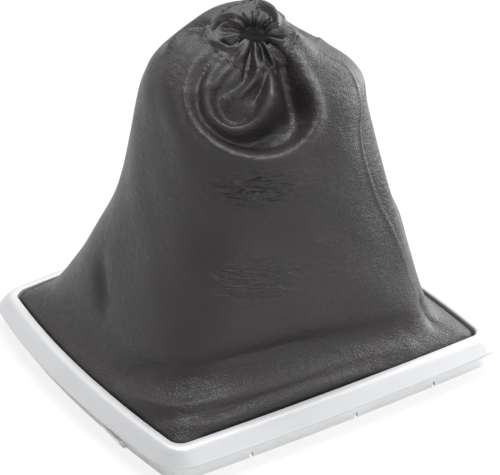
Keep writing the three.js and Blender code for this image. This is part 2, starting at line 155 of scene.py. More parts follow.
# How far the two lowest sections lie below the flange's top and the trim's lip, how far the second one
# leans in, and how far below the lip the inner face turns level
LIP_DEPTH = 1.5
LIP_SLOPE = 0.3
LIP_TUCK = 0.6
INNER_TUCK = 2.8

# Shares of the sleeve's height and of the surround's half lengths along X and Y, squareness,
# and the share of the way to the neck's middle
LOWER_SECTIONS = (
    (0.129, 0.78, 0.787, 5, 0.02),
    (0.226, 0.731, 0.742, 3.6, 0.35),
    (0.323, 0.687, 0.702, 3, 0.7),
    (0.419, 0.633, 0.645, 2.8, 1),
)
# Shares of the shoulder's radius and of the sleeve's height towards the pouch, its right, its back
# and its left, then squareness
NECK_SHARE = NECK_RADIUS / SHOULDER_RADIUS
UPPER_SECTIONS = (
    ((1.095, 0.516), (1.107, 0.516), (1.062, 0.516), (1.137, 0.516), 2.6),
    ((1.045, 0.597), (1.025, 0.629), (1, 0.661), (1.057, 0.629), 2.5),
    ((1.007, 0.665), (0.95, 0.742), (0.925, 0.774), (0.98, 0.742), 2.4),
    ((0.938, 0.726), (0.9, 0.823), (0.825, 0.871), (0.932, 0.819), 2.3),
    ((0.787, 0.778), (0.787, 0.867), (0.675, 0.935), (0.838, 0.875), 2.2),
    ((0.575, 0.831), (0.55, 0.907), (0.487, 0.96), (0.625, 0.919), 2),
    ((0.362, 0.883), (0.35, 0.944), (0.338, 0.974), (0.388, 0.944), 2),
    ((NECK_SHARE, 0.923), (NECK_SHARE, 0.948), (NECK_SHARE, 0.972), (NECK_SHARE, 0.948), 2),
)
# Inset and height of the sections beside the flange and the trim's lip
LIP_SECTIONS = (
    (TRIM_WIDTH + SLEEVE_GAP, FLANGE_TOP - LIP_DEPTH),
    (TRIM_WIDTH + SLEEVE_GAP + LIP_SLOPE, TRIM_LIP - LIP_TUCK),
)
LIP_OUTLINES = [outline(inset, OUTLINE_STEPS, OUTLINE_STEPS) for inset, _ in LIP_SECTIONS]
NECK_SECTION = len(LIP_SECTIONS) + len(LOWER_SECTIONS) + len(UPPER_SECTIONS) - 1
# Step in radians and in places over which the sleeve's slope is taken
FRAME_STEP = 0.02


def superellipse(angles, half_x, half_y, squareness):
    """Distance from the middle to a rounded rectangle in each direction."""
    total = np.abs(np.cos(angles) / half_x) ** squareness + np.abs(np.sin(angles) / half_y) ** squareness
    return total ** (-1 / squareness)


def sections(angles):
    """The points of every section in the given directions: section, direction, xyz."""
    cos, sin = np.cos(angles), np.sin(angles)
    rows = []
    for (_, height), points in zip(LIP_SECTIONS, LIP_OUTLINES):
        reach = outline_reach(points, angles)
        rows.append(np.c_[reach * cos, reach * sin, np.full_like(cos, height)])
    for height, half_x, half_y, squareness, shift in LOWER_SECTIONS:
        reach = superellipse(angles, half_x * LENGTH / 2, half_y * DEPTH / 2, squareness)
        rows.append(np.c_[NECK[0] * shift + reach * cos, NECK[1] * shift + reach * sin,
                          np.full_like(cos, height * SLEEVE_HEIGHT)])
    turn = angles - POUCH
    along = np.cos(turn) ** 2
    across = np.sin(turn) ** 2
    ahead = np.cos(turn) > 0
    rightward = np.sin(turn) > 0
    for pouch, right, back, left, squareness in UPPER_SECTIONS:
        reach, height = (along * np.where(ahead, pouch[part], back[part])
                         + across * np.where(rightward, right[part], left[part]) for part in (0, 1))
        middle = (1 + math.sqrt(2) / 2 ** (1 / squareness)) / 2
        reach = reach * SHOULDER_RADIUS * superellipse(angles, 1, 1, squareness) / middle
        rows.append(np.c_[NECK[0] + reach * cos, NECK[1] + reach * sin, height * SLEEVE_HEIGHT])
    return np.array(rows)


def sleeve_point(angles, places):
    """Points of the smooth sleeve by direction and place between the sections."""
    rows = sections(angles)
    place = np.clip(places, 0, NECK_SECTION)
    index = np.minimum(np.floor(place).astype(int), NECK_SECTION - 1)
    share = (place - index)[:, None]
    column = np.arange(len(angles))

    def row(offset):
        return rows[np.clip(index + offset, 0, NECK_SECTION), column]

    here, after = row(0), row(1)
    before = np.where((index > 0)[:, None], row(-1), 2 * here - after)
    beyond = np.where(((index > 0) & (index + 2 <= NECK_SECTION))[:, None], row(2), 2 * after - here)
    return 0.5 * (2 * here + (after - before) * share
                  + (2 * before - 5 * here + 4 * after - beyond) * share ** 2
                  + (3 * here - before - 3 * after + beyond) * share ** 3)


def unit(vectors):
    return vectors / np.maximum(np.linalg.norm(vectors, axis=1, keepdims=True), TINY)


def sleeve_frame(angles, places):
    """The outward normal of the smooth sleeve, and the direction up along it."""
    around = sleeve_point(angles + FRAME_STEP, places) - sleeve_point(angles - FRAME_STEP, places)
    along = unit(sleeve_point(angles, np.minimum(places + FRAME_STEP, NECK_SECTION))
                 - sleeve_point(angles, np.maximum(places - FRAME_STEP, 0)))
    return unit(np.cross(around, along)), along


def smoothstep(value, low, high):
    """Rises smoothly from 0 at low to 1 at high."""
    share = np.clip((value - low) / (high - low), 0, 1)
    return share * share * (3 - 2 * share)


# Broad folds, which run through the leather: height, width, line of (direction, place)
BROAD_FOLDS = (
    # the rim of the pouch in front of the neck, the groove inside it and the hollow, deeper on its right
    (3, 2.8, ((-184, 11.9), (-177, 10.95), (-170, 10.3), (-157, 9.55), (-137, 9.08), (-119, 8.82),
              (-100, 8.98), (-86, 9.62), (-78, 10.6), (-72, 11.5), (-68, 12.2))),
    (-1.2, 2.6, ((-172, 11.7), (-166, 10.9), (-161, 10.25), (-152, 9.78), (-138, 9.46), (-119, 9.3),
                 (-103, 9.45), (-93, 9.95), (-87, 10.7), (-83, 11.5), (-80, 12.1))),
    (-6.4, 6.8, ((-162, 10.8), (-146, 10.15), (-126, 9.88), (-108, 9.9), (-94, 10.35), (-84, 11.2))),
    (-4.5, 4.5, ((-88, 12.3), (-93, 11.4), (-95, 10.7), (-99, 10.1))),
    # the lobe below the gathers
    (5.6, 2.7, ((-163, 11.8), (-161, 10.9), (-151, 10.15), (-138, 9.92), (-127, 10.08), (-118, 10.4),
                (-110, 10.9), (-107, 11.4), (-108, 12))),
    # the hollow and the lifts behind the neck, the flap in front and the shoulder fold on the left
    (-3.5, 9, ((-2, 10.4), (12, 10.8), (26, 11.3))),
    (3.6, 6.5, ((4, 12.3), (26, 12), (56, 11.7), (84, 11.5), (106, 11.3), (128, 11.1), (142, 11))),
    (2.2, 3.5, ((-18, 12.8), (-36, 12.3), (-42, 11.8))),
    (2.2, 2.4, ((153, 10.6), (143, 11.1), (140, 11.7), (150, 12.3))),
    (-2.6, 3, ((137, 10.8), (129, 11.4), (128, 12))),
    # a ridge, the valley above it and a second ridge by the trim, over the front of the surround
    (3, 3.5, ((-158, 1.36), (-148, 1.6), (-138, 1.82), (-128, 1.99), (-118, 2.06), (-102, 2.02),
              (-81, 1.92), (-60, 1.7))),
    (-3, 4.6, ((-162, 2), (-154, 2.25), (-144, 2.55), (-132, 2.78), (-120, 2.87), (-100, 2.8),
                 (-81, 2.65), (-58, 2.4))),
    (2.8, 2.7, ((-140, 1.24), (-130, 1.32), (-118, 1.38), (-98, 1.38), (-74, 1.3))),
    # creases that rise from the surround's corners
    (-2, 2.8, ((161, 4), (169, 3.4), (178, 2.8))),
    (-1.6, 2.6, ((-45, 2.7), (-47, 1.7))),
    # soft upright folds on the right flank and the back
    (1.6, 6, ((-50, 3.5), (-48, 6), (-45, 8.6))),
    (1.8, 6, ((88, 2.2), (80, 5), (72, 8.5))),
    (-1.8, 6, ((62, 2.2), (58, 5), (52, 8.5))),
    (-1.6, 5, ((112, 2.2), (106, 5), (104, 8))),
    (1.6, 5, ((18, 1.8), (12, 4.5), (14, 7.5))),
    (-1.5, 4.5, ((-8, 1.8), (-12, 4.5), (-8, 7))),
)

# Narrow folds in the same form: raised ones are on the outer face only
NARROW_FOLDS = (
    # the slanting fold from the gathers to the lobe, the crinkled one to its right and the gaps
    (2.3, 1.2, ((-112, 12.5), (-117, 12), (-125, 11.5), (-133, 11.1), (-140, 10.8))),
    (1, 1, ((-101, 12), (-104, 11.6), (-108, 11.2), (-112, 10.8))),
    (-1.6, 1.2, ((-106, 12.2), (-110, 11.8), (-117, 11.3), (-125, 10.9))),
    (-1.4, 1.6, ((-128, 12), (-135, 11.6), (-143, 11.2), (-150, 10.9))),
    (1.2, 1.1, ((-150, 11.9), (-154, 11.4), (-155, 10.9))),
    (0.35, 0.5, ((-99, 11.5), (-104, 11.3), (-110, 11.2))),
    (0.35, 0.5, ((-101, 11.15), (-107, 10.95), (-113, 10.9))),
    (0.3, 0.5, ((-104, 10.8), (-110, 10.65), (-117, 10.65))),
    # the loop on the neck's right, and the drapes behind its left
    (1.7, 1.1, ((66, 11.75), (48, 12), (26, 12.25), (8, 12.55), (-8, 12.85))),
    (-1.3, 1, ((54, 12.35), (32, 12.55), (14, 12.8))),
    (1.5, 0.9, ((158, 11.85), (138, 12.05), (112, 12.15), (96, 12.5), (88, 12.85))),
    (-1.1, 0.7, ((146, 12.15), (122, 12.3), (104, 12.6))),
    (1.2, 0.7, ((150, 12.3), (126, 12.45), (108, 12.8))),
    # the flap at the lower left of the neck, with its slit
    (1.6, 1, ((164, 11.9), (176, 12.15), (190, 12.4), (204, 12.7))),
    (-1.8, 0.7, ((172, 12.35), (182, 12.55), (192, 12.7))),
    # the seam down the right flank, a ridge beside a groove
    (0.32, 0.8, ((-40.5, 11.8), (-36.5, 11), (-40, 10.6), (-42, 10.1), (-48, 9.6), (-56, 8.5),
                (-60.5, 7.8), (-59, 6.5), (-54, 5), (-48, 3), (-46, 1.6))),
    (-0.2, 0.45, ((-38.6, 11.8), (-34.6, 11), (-38.1, 10.6), (-40.1, 10.1), (-46.2, 9.6), (-54.2, 8.5),
                 (-58.8, 7.8), (-57.4, 6.5), (-52.5, 5), (-46.7, 3), (-45, 1.6))),
    # small wrinkles under the pouch and over the front
    (0.55, 0.8, ((-142, 8.05), (-131, 7.85), (-122, 7.9), (-113, 8.05), (-107, 7.9))),
    (-0.4, 0.7, ((-139, 7.75), (-128, 7.65), (-117, 7.75))),
    (0.5, 0.8, ((-134, 7.5), (-125, 7.4), (-112, 7.55), (-102, 7.5))),
    (0.4, 0.8, ((-131, 7.1), (-122, 7.05))),
    (0.45, 0.9, ((-134, 5.25), (-123, 5.1), (-112, 5.2), (-100, 5.1))),
    (0.35, 0.8, ((-124, 4.7), (-112, 4.6))),
    (0.35, 0.8, ((-100, 5.65), (-90, 5.5))),
    (-0.35, 0.7, ((-52, 3.2), (-60, 3.0), (-68, 3.1))),
    (-0.35, 0.7, ((165, 3.1), (172, 2.9), (180, 3.0))),
)

# Gathers: ridges that start on the neck's opening. Height, width, direction at the opening, and the
# direction and place where each one ends
GATHERS = (
    (1.9, 1.5, -141, -151, 11.8),
    (-2.2, 0.8, -131, -134, 11.5),
    (2, 1.1, -121, -121, 11.5),
    (-1.2, 0.5, -113, -113, 12),
    (1.2, 0.7, -106, -106, 12),
    (-1.1, 0.45, -100, -100, 12),
    (1.8, 0.9, -93, -94, 11.6),
    (-2.6, 1.3, -80, -80, 11.4),
    (1.1, 1.2, -68, -62, 12.3),
    (-1, 0.5, -56, -52, 12.4),
    (0.9, 1.3, -40, -36, 12.4),
    (-1.2, 0.6, -22, -18, 12.5),
    (1.2, 0.8, -6, -2, 12.6),
    (-1, 0.5, 8, 10, 12.6),
    (1.4, 0.9, 24, 26, 12.5),
    (-1.3, 0.7, 42, 44, 12.5),
    (1, 0.6, 56, 58, 12.6),
    (0.9, 0.5, 76, 78, 12.6),
    (-1, 0.6, 90, 92, 12.6),
    (1.3, 0.8, 108, 112, 12.5),
    (-1.2, 0.6, 124, 128, 12.4),
    (1.3, 0.7, 140, 144, 12.4),
    (-1, 0.5, 154, 156, 12.4),
    (1.4, 1, 172, 172, 12.2),
    (-1.4, 0.7, 190, 188, 12.2),
    (1.5, 1, 204, 198, 12),
)
# Pieces of a fold's curve, and how many widths away a fold still lifts the leather
FOLD_STEPS = 24
FOLD_REACH = 3.2
# Shares of a fold's length: the least one that fades it, and where a gather starts to fade
FOLD_END = 0.02
GATHER_FADE = 0.45
# Places between which broad and narrow folds set in above the surround
BROAD_START = (0.8, 1.25)
NARROW_START = (1, 2)
# The row of stitches: its place, the groove that it draws and that groove's width in places
STITCH_PLACE = 11.95
STITCH_GROOVE = 0.3
STITCH_WIDTH = 0.06
# How far narrow folds may sink in at the hem and below it, and the places between the two
HEM_DEEPEST = 0.9
SLEEVE_DEEPEST = 3.9
HEM_RANGE = (11.5, 12.1)
INNER_RANGE = (11.3, 11.9)
# Over the roll the gathers keep the cosine of its turn divided by this
ROLL_FADE = 2.6
# Unevenness of the leather: its height, the places where it sets in and ends, and its waves as
# strength, count round the sleeve, phase for each place and phase at the start
WANDER = 0.16
WANDER_START = (1.5, 3.5)
WANDER_END = (11, 12)
WAVES = ((1, 3, 1.7, 0), (1, 5, -2.3, 1), (0.7, 8, 1.1, 2), (0.5, 13, 3.1, 0))


def through(points, steps):
    """A smooth curve through points, with the steps spread evenly between them."""
    points = np.asarray(points, float)
    ends = np.vstack((2 * points[0] - points[1], points, 2 * points[-1] - points[-2]))
    result = []
    for step in range(steps + 1):
        at = step / steps * (len(points) - 1)
        index = min(int(at), len(points) - 2)
        share = at - index
        quad = ends[index:index + 4]
        knots = [0.0]
        for first, second in zip(quad, quad[1:]):
            knots.append(knots[-1] + math.sqrt(max(np.linalg.norm(second - first), TINY)))
        moment = knots[1] + share * (knots[2] - knots[1])

        def mix(start, end, low, high):
            return (start * (high - moment) + end * (moment - low)) / (high - low)

        left = mix(quad[0], quad[1], knots[0], knots[1])
        middle = mix(quad[1], quad[2], knots[1], knots[2])
        right = mix(quad[2], quad[3], knots[2], knots[3])
        early = mix(left, middle, knots[0], knots[2])
        late = mix(middle, right, knots[1], knots[3])
        result.append(mix(early, late, knots[1], knots[2]))
    return np.array(result)


def fold_curve(line):
    """The curve of one fold over the smooth sleeve."""
    angles = np.radians([degrees for degrees, _ in line])
    places = np.array([place for _, place in line], float)
    return through(sleeve_point(angles, places), FOLD_STEPS)


def fold_lift(points, height, width, curve, open_start=False):
    """How far one fold lifts the leather at each point, fading at the ends of its curve."""
    lift = np.zeros(len(points))
    margin = FOLD_REACH * width
    near = np.all((points > curve.min(axis=0) - margin) & (points < curve.max(axis=0) + margin), axis=1)
    chosen = points[near]
    if not len(chosen):
        return lift
    best = np.full(len(chosen), np.inf)
    along = np.zeros(len(chosen))
    for index in range(FOLD_STEPS):
        start, span = curve[index], curve[index + 1] - curve[index]
        share = np.clip((chosen - start) @ span / max(span @ span, TINY), 0, 1)
        distance = np.linalg.norm(chosen - start - share[:, None] * span, axis=1)
        closer = distance < best
        best = np.where(closer, distance, best)
        along = np.where(closer, (index + share) / FOLD_STEPS, along)
    if open_start:
        fade = 1 - smoothstep(along, GATHER_FADE, 1)
    else:
        fade = np.sqrt(np.sin(math.pi * np.clip(along, FOLD_END, 1 - FOLD_END)))
    lift[near] = height * fade * np.exp(-((best / width) ** 2))
    return lift


BROAD_CURVES = [(height, width, fold_curve(line)) for height, width, line in BROAD_FOLDS]
NARROW_CURVES = [(height, width, fold_curve(line)) for height, width, line in NARROW_FOLDS]
GATHER_CURVES = [
    (height, width, fold_curve(((start, NECK_SECTION), ((start + end) / 2, (NECK_SECTION + place) / 2),
                                (end, place))))
    for height, width, start, end, place in GATHERS
]


def wander(angles, places):
    """Slow, shallow unevenness of soft leather."""
    wave = sum(strength * np.sin(count * angles + rise * places + start)
               for strength, count, rise, start in WAVES)
    return WANDER * wave * smoothstep(places, *WANDER_START) * (1 - smoothstep(places, *WANDER_END))


def broad_lift(points, places):
    """What the broad folds add to both faces."""
    total = sum(fold_lift(points, height, width, curve) for height, width, curve in BROAD_CURVES)
    return total * smoothstep(places, *BROAD_START)


def fine_lift(points, angles, places):
    """What the narrow folds, the gathers and the stitches add to the outer face."""
    total = sum(fold_lift(points, height, width, curve) for height, width, curve in NARROW_CURVES)
    gathers = sum(fold_lift(points, height, width, curve, True) for height, width, curve in GATHER_CURVES)
    stitched = -STITCH_GROOVE * np.exp(-((places - STITCH_PLACE) / STITCH_WIDTH) ** 2)
    lift = total * smoothstep(places, *NARROW_START) + gathers + stitched + wander(angles, places)
    deepest = -SLEEVE_DEEPEST + (SLEEVE_DEEPEST - HEM_DEEPEST) * smoothstep(places, *HEM_RANGE)
    return np.maximum(lift, deepest)


def layer_point(angles, places, offset, outer):
    """A layer of the sleeve, an offset away from its smooth form along the normal.

    The inner face follows the outer one where a narrow fold sinks in below the hem.
    """
    points = sleeve_point(angles, places)
    normals, _ = sleeve_frame(angles, places)
    fine = fine_lift(points, angles, places)
    if not outer:
        fine = np.minimum(fine, 0) * (1 - smoothstep(places, *INNER_RANGE))
    lift = broad_lift(points, places) + fine + offset
    return points + normals * lift[:, None]


def roll_point(angles, turn, radius, outer):
    """The roll at the neck: part of a turn about the roll's middle."""
    places = np.full_like(angles, NECK_SECTION)
    normals, along = sleeve_frame(angles, places)
    lifted = np.full_like(angles, radius)
    if outer:
        gathered = fine_lift(sleeve_point(angles, places), angles, places)
        lifted = lifted + gathered * math.cos(turn / ROLL_FADE)
    middle = layer_point(angles, places, -ROLL_RADIUS, False)
    outward = normals * math.cos(turn) + along * math.sin(turn)
    return middle + outward * lifted[:, None]


def hem_point(angles, inset, height):
    """A level row that follows the surround's outline."""
    reach = outline_reach(outline(inset, OUTLINE_STEPS, OUTLINE_STEPS), angles)
    return np.c_[reach * np.cos(angles), reach * np.sin(angles), np.full_like(angles, height)]


# Columns of the leather's mesh, and the places between which they grow even
CORNER_COLUMNS = 16
SIDE_COLUMNS = 84
COLUMNS = 4 * (CORNER_COLUMNS + SIDE_COLUMNS)
EVEN_RANGE = (1, 6)
# Rows of each face as stretches of first place, last place and rows, then those of the flap and rolls
OUTER_ROWS = ((0.6, 2, 15), (2, 3.6, 20), (3.6, 4.5, 5), (4.5, 8.2, 41), (8.2, 11.4, 49),
              (11.4, NECK_SECTION, 47))
INNER_ROWS = ((NECK_SECTION, 8, 21), (8, 1.4, 11))
HEM_ROWS = 5
ROLL_STEPS = 12
INNER_ROLL_STEPS = 7


def column_angles(place):
    """At the surround the columns follow its outline, and at the neck they are evenly spaced."""
    points = outline(LIP_SECTIONS[1][0], CORNER_COLUMNS, SIDE_COLUMNS)
    even = (np.arange(COLUMNS) - CORNER_COLUMNS / 2) * 2 * math.pi / COLUMNS - math.pi / 4
    turn = np.arctan2(points[:, 1], points[:, 0]) - even
    nearest = np.arctan2(np.sin(turn), np.cos(turn))
    return even + nearest * (1 - smoothstep(place, *EVEN_RANGE))


def spread(stretches):
    """Places spread evenly over each stretch."""
    parts = [np.linspace(low, high, rows, endpoint=False) for low, high, rows in stretches]
    return np.concatenate((*parts, [stretches[-1][1]]))


def many_layers(places, offsets, outer):
    """Several rows of one layer at once."""
    angles = np.concatenate([column_angles(place) for place in places])
    spread_places = np.repeat(np.asarray(places, float), COLUMNS)
    offset = np.repeat(np.asarray(offsets, float), COLUMNS)
    return list(layer_point(angles, spread_places, offset, outer).reshape(len(places), COLUMNS, 3))


def mesh_object(name, vertices, faces):
    """A smooth-shaded object from points in millimetres."""
    mesh = bpy.data.meshes.new(name)
    mesh.from_pydata([tuple(vertex) for vertex in np.asarray(vertices) * MM], [], faces)
    mesh.polygons.foreach_set("use_smooth", [True] * len(mesh.polygons))
    mesh.update()
    made = bpy.data.objects.new(name, mesh)
    bpy.context.scene.collection.objects.link(made)
    return made


def ring_faces(rows, columns):
    """Quads of a closed ring of closed rows."""
    faces = []
    for row in range(rows):
        after = (row + 1) % rows
        for column in range(columns):
            beside = (column + 1) % columns
            faces.append((row * columns + column, row * columns + beside,
                          after * columns + beside, after * columns + column))
    return faces


def leather_piece():
    """The sleeve as one closed ring: lower hem, outer face, neck's roll, its flap, inner face."""
    hem_top = FLANGE_BOTTOM - FIT_GAP
    hem_bottom = hem_top - LEATHER
    hem_edge = SKIRT_INSET + SKIRT_WALL + FIT_GAP
    hem_outer = SKIRT_INSET + FLANGE_WIDTH + FIT_GAP
    hem_inner = TRIM_WIDTH + SLEEVE_GAP + LEATHER
    low = column_angles(0)
    neck = column_angles(NECK_SECTION)
    outer_places = spread(OUTER_ROWS)
    inner_places = spread(INNER_ROWS)
    hem_places = np.linspace(NECK_SECTION, HEM_START, HEM_ROWS)
    # the flap leans from the roll's far side back to the sleeve
    flap_share = (NECK_SECTION - hem_places) / (NECK_SECTION - HEM_START)
    flap_low = -2 * ROLL_RADIUS + (2 * ROLL_RADIUS - LEATHER - HEM_MOUTH - HEM_FLAP) * flap_share
    rows = [
        hem_point(low, hem_outer + LEATHER, hem_bottom),
        hem_point(low, hem_edge, hem_bottom),
        hem_point(low, hem_edge, hem_top),
        hem_point(low, hem_outer - FIT_GAP, hem_top),
        hem_point(low, hem_outer, hem_top + FIT_GAP),
    ]
    rows += many_layers(outer_places, np.zeros(len(outer_places)), True)
    rows += [roll_point(neck, math.pi * step / ROLL_STEPS, ROLL_RADIUS, True)
             for step in range(1, ROLL_STEPS)]
    rows += many_layers(hem_places, flap_low, False)
    rows += many_layers(hem_places[::-1], flap_low[::-1] + HEM_FLAP, False)
    rows += [roll_point(neck, math.pi * step / INNER_ROLL_STEPS, ROLL_RADIUS - LEATHER, False)
             for step in range(INNER_ROLL_STEPS - 1, 0, -1)]
    rows += many_layers(inner_places, np.full(len(inner_places), -LEATHER), False)
    rows += [
        hem_point(low, hem_inner + FIT_GAP, TRIM_LIP - INNER_TUCK),
        hem_point(low, hem_inner + FIT_GAP, hem_top + FIT_GAP),
    ]
    vertices = np.concatenate(rows)
    return mesh_object("gaiter_leather", vertices, ring_faces(len(rows), COLUMNS))


# Stitches: how many, the thread's radius, the share of a stitch's room that its thread fills, the lift of
# the whole row, how far a stitch's middle rises from it and its ends sink, and how thin its ends are
STITCHES = 38
THREAD_RADIUS = 0.2
STITCH_FILL = 0.68
THREAD_LIFT = 0.02
THREAD_PROUD = 0.04
THREAD_SUNK = 0.16
THREAD_END = 0.55
# Steps along and round each stitch's mesh
THREAD_STEPS = 4
THREAD_SIDES = 6


def stitches():
    """The row of stitches that closes the neck's hem, each one a short length of thread."""
    count, steps, sides = STITCHES, THREAD_STEPS, THREAD_SIDES
    starts = np.arange(count) * 2 * math.pi / count
    share = np.linspace(0, STITCH_FILL, steps + 1) * 2 * math.pi / count
    angles = (starts[:, None] + share[None, :]).ravel()
    places = np.full_like(angles, STITCH_PLACE)
    centres = layer_point(angles, places, THREAD_LIFT, True).reshape(count, steps + 1, 3)
    normals = sleeve_frame(angles, places)[0].reshape(count, steps + 1, 3)
    vertices, faces = [], []
    for line, outward in zip(centres, normals):
        run = unit(np.gradient(line, axis=0))
        across = unit(np.cross(run, outward))
        upward = np.cross(across, run)
        first = len(vertices)
        for step in range(steps + 1):
            end = step in (0, steps)
            radius = THREAD_RADIUS * (THREAD_END if end else 1)
            rise = -THREAD_SUNK if end else THREAD_PROUD
            for side in range(sides):
                turn = 2 * math.pi * side / sides
                vertices.append(line[step] + upward[step] * (rise + radius * math.sin(turn))
                                + across[step] * radius * math.cos(turn))
        for step in range(steps):
            for side in range(sides):
                beside = (side + 1) % sides
                low, high = first + step * sides, first + (step + 1) * sides
                faces.append((low + side, high + side, high + beside, low + beside))
        faces.append(tuple(first + side for side in range(sides)))
        faces.append(tuple(first + steps * sides + side for side in reversed(range(sides))))
    return mesh_object("hem_stitching", np.array(vertices), faces)


# Steps over the trim's crown, round each of its corners and along each of its sides
TRIM_CROWN_STEPS = 36
TRIM_ARC_STEPS = 14
TRIM_SIDE_STEPS = 30


def trim_piece():
    """The silver moulding: insets and heights of its rounded crown, its lip and its hollow back."""
    under = TRIM_CREST - TRIM_WALL
    lip_inner = TRIM_WIDTH - TRIM_LIP_WALL
    crown = through((
        (0.5, TRIM_EDGE + 1), (1.6, TRIM_EDGE + 1.87), (2.9, TRIM_CREST - 1.7),
        (TRIM_SHOULDER - 0.3, TRIM_CREST - 0.93), (TRIM_SHOULDER + 0.9, TRIM_CREST - 0.25),
        (6.1, TRIM_CREST - 0.03), (7.2, TRIM_CREST), (7.9, TRIM_CREST - 0.14),
        (8.3, TRIM_CREST - 0.45), (TRIM_WIDTH, TRIM_LIP)), TRIM_CROWN_STEPS)
    section = [(0.2, TRIM_EDGE), (0.05, TRIM_EDGE + 0.12), (0, TRIM_EDGE + 0.4), (0.08, TRIM_EDGE + 0.62),
               (0.26, TRIM_EDGE + 0.82)]
    section += [tuple(point) for point in crown]
    section += [
        (TRIM_WIDTH, FLANGE_TOP + FIT_GAP), (lip_inner, FLANGE_TOP + FIT_GAP), (lip_inner, under - 0.4),
        (TRIM_SHOULDER + 1.2, under - 0.2), (TRIM_SHOULDER + 0.2, under - 1),
        (TRIM_WALL + 0.7, TRIM_EDGE + 0.4), (TRIM_WALL + 0.4, TRIM_EDGE),
    ]
    rows = []
    for inset, height in section:
        points = outline(inset, TRIM_ARC_STEPS, TRIM_SIDE_STEPS)
        rows.append(np.c_[points, np.full(len(points), height)])
    return mesh_object("trim_surround", np.concatenate(rows), ring_faces(len(rows), len(rows[0])))


# Materials
def new_material(name):
    """A material with a principled shader, its nodes, links and shader."""
    material = bpy.data.materials.new(name)
    material.use_nodes = True
    nodes = material.node_tree.nodes
    nodes.clear()
    output = nodes.new("ShaderNodeOutputMaterial")
    shader = nodes.new("ShaderNodeBsdfPrincipled")
    material.node_tree.links.new(shader.outputs["BSDF"], output.inputs["Surface"])
    return material, nodes, material.node_tree.links, shader


def linear(red, green, blue):
    """A colour given as it is written, 0 to 255."""
    def one(value):
        value /= 255
        return value / 12.92 if value <= 0.04045 else ((value + 0.055) / 1.055) ** 2.4
    return (one(red), one(green), one(blue), 1)


def noise(nodes, links, coordinates, scale, detail=2, roughness=0.5):
    node = nodes.new("ShaderNodeTexNoise")
    node.inputs["Scale"].default_value = scale
    node.inputs["Detail"].default_value = detail
    node.inputs["Roughness"].default_value = roughness
    links.new(coordinates, node.inputs["Vector"])
    return node.outputs["Fac"]


def ranged(nodes, links, value, low, high, new_low, new_high):
    """A value from low to high, carried over to new_low to new_high."""
    node = nodes.new("ShaderNodeMapRange")
    links.new(value, node.inputs["Value"])
    for name, number in (("From Min", low), ("From Max", high), ("To Min", new_low), ("To Max", new_high)):
        node.inputs[name].default_value = number
    return node.outputs["Result"]


def ramp(nodes, links, value, *stops):
    """A colour by value, from stops of position and colour."""
    node = nodes.new("ShaderNodeValToRGB")
    elements = node.color_ramp.elements
    elements[0].position, elements[0].color = stops[0]
    elements[1].position, elements[1].color = stops[-1]
    for position, colour in stops[1:-1]:
        elements.new(position).color = colour
    links.new(value, node.inputs["Fac"])
    return node.outputs["Color"]


def bump(nodes, links, height, strength, distance, before=None):
    node = nodes.new("ShaderNodeBump")
    node.inputs["Strength"].default_value = strength
    node.inputs["Distance"].default_value = distance
    links.new(height, node.inputs["Height"])
    if before is not None:
        links.new(before, node.inputs["Normal"])
    return node.outputs["Normal"]


def times(nodes, links, first, second):
    node = nodes.new("ShaderNodeMath")
    node.operation = "MULTIPLY"
    links.new(first, node.inputs[0])
    links.new(second, node.inputs[1])
    return node.outputs["Value"]


def stretched(nodes, links, place, scale, rotation=(0, 0, 0)):
    """Coordinates scaled unevenly, so that a pattern flattens along one axis."""
    node = nodes.new("ShaderNodeMapping")
    node.inputs["Scale"].default_value = scale
    node.inputs["Rotation"].default_value = rotation
    links.new(place, node.inputs["Vector"])
    return node.outputs["Vector"]


# Pebbles and the noise that bends them, by count per metre, and how far it bends them in metres
PEBBLE_SCALE = 1100
PEBBLE_SHAKE_SCALE = 420
PEBBLE_SHAKE = 0.0012
PEBBLE_EDGE = 0.28
# Creases, by count per metre, how flat they lie and how they tilt
CREASE_SCALE = 260
CREASE_FLATTEN = 2.6
CREASE_TILT = (0.25, 0.2, 0)
# Slow changes of colour and the finest grain, by count per metre
TONE_SCALE = 38
GRAIN_SCALE = 2600
# Patches of fine wrinkles over the front: direction and place of the middle, half width, half height
# and depth. Then the wrinkles' count per metre, how flat they lie and how much they waver
WRINKLED = ((-121, 7.65, 22, 7.5, 1), (-124, 4.95, 22, 9, 0.8))
WRINKLE_SCALE = 170
WRINKLE_FLATTEN = 3.2
WRINKLE_WAVER = 0.6
# Share of a patch's radius at which its wrinkles begin to fade, and the heights over which their crests
# are painted lighter as a painted highlight
PATCH_FADE = 0.5
WRINKLE_HIGHLIGHT_RANGE = (1.25, 1.9)


def pebble_height(nodes, links, place):
    """Rounded pebbles of about 0.7 mm: 0 between them and 1 on them."""
    shake = nodes.new("ShaderNodeTexNoise")
    shake.inputs["Scale"].default_value = PEBBLE_SHAKE_SCALE
    links.new(place, shake.inputs["Vector"])
    warp = nodes.new("ShaderNodeVectorMath")
    warp.operation = "MULTIPLY_ADD"
    links.new(shake.outputs["Color"], warp.inputs[0])
    warp.inputs[1].default_value = (PEBBLE_SHAKE,) * 3
    links.new(place, warp.inputs[2])
    cells = nodes.new("ShaderNodeTexVoronoi")
    cells.feature = "DISTANCE_TO_EDGE"
    cells.inputs["Scale"].default_value = PEBBLE_SCALE
    links.new(warp.outputs["Vector"], cells.inputs["Vector"])
    return ranged(nodes, links, cells.outputs["Distance"], 0, PEBBLE_EDGE, 0, 1)


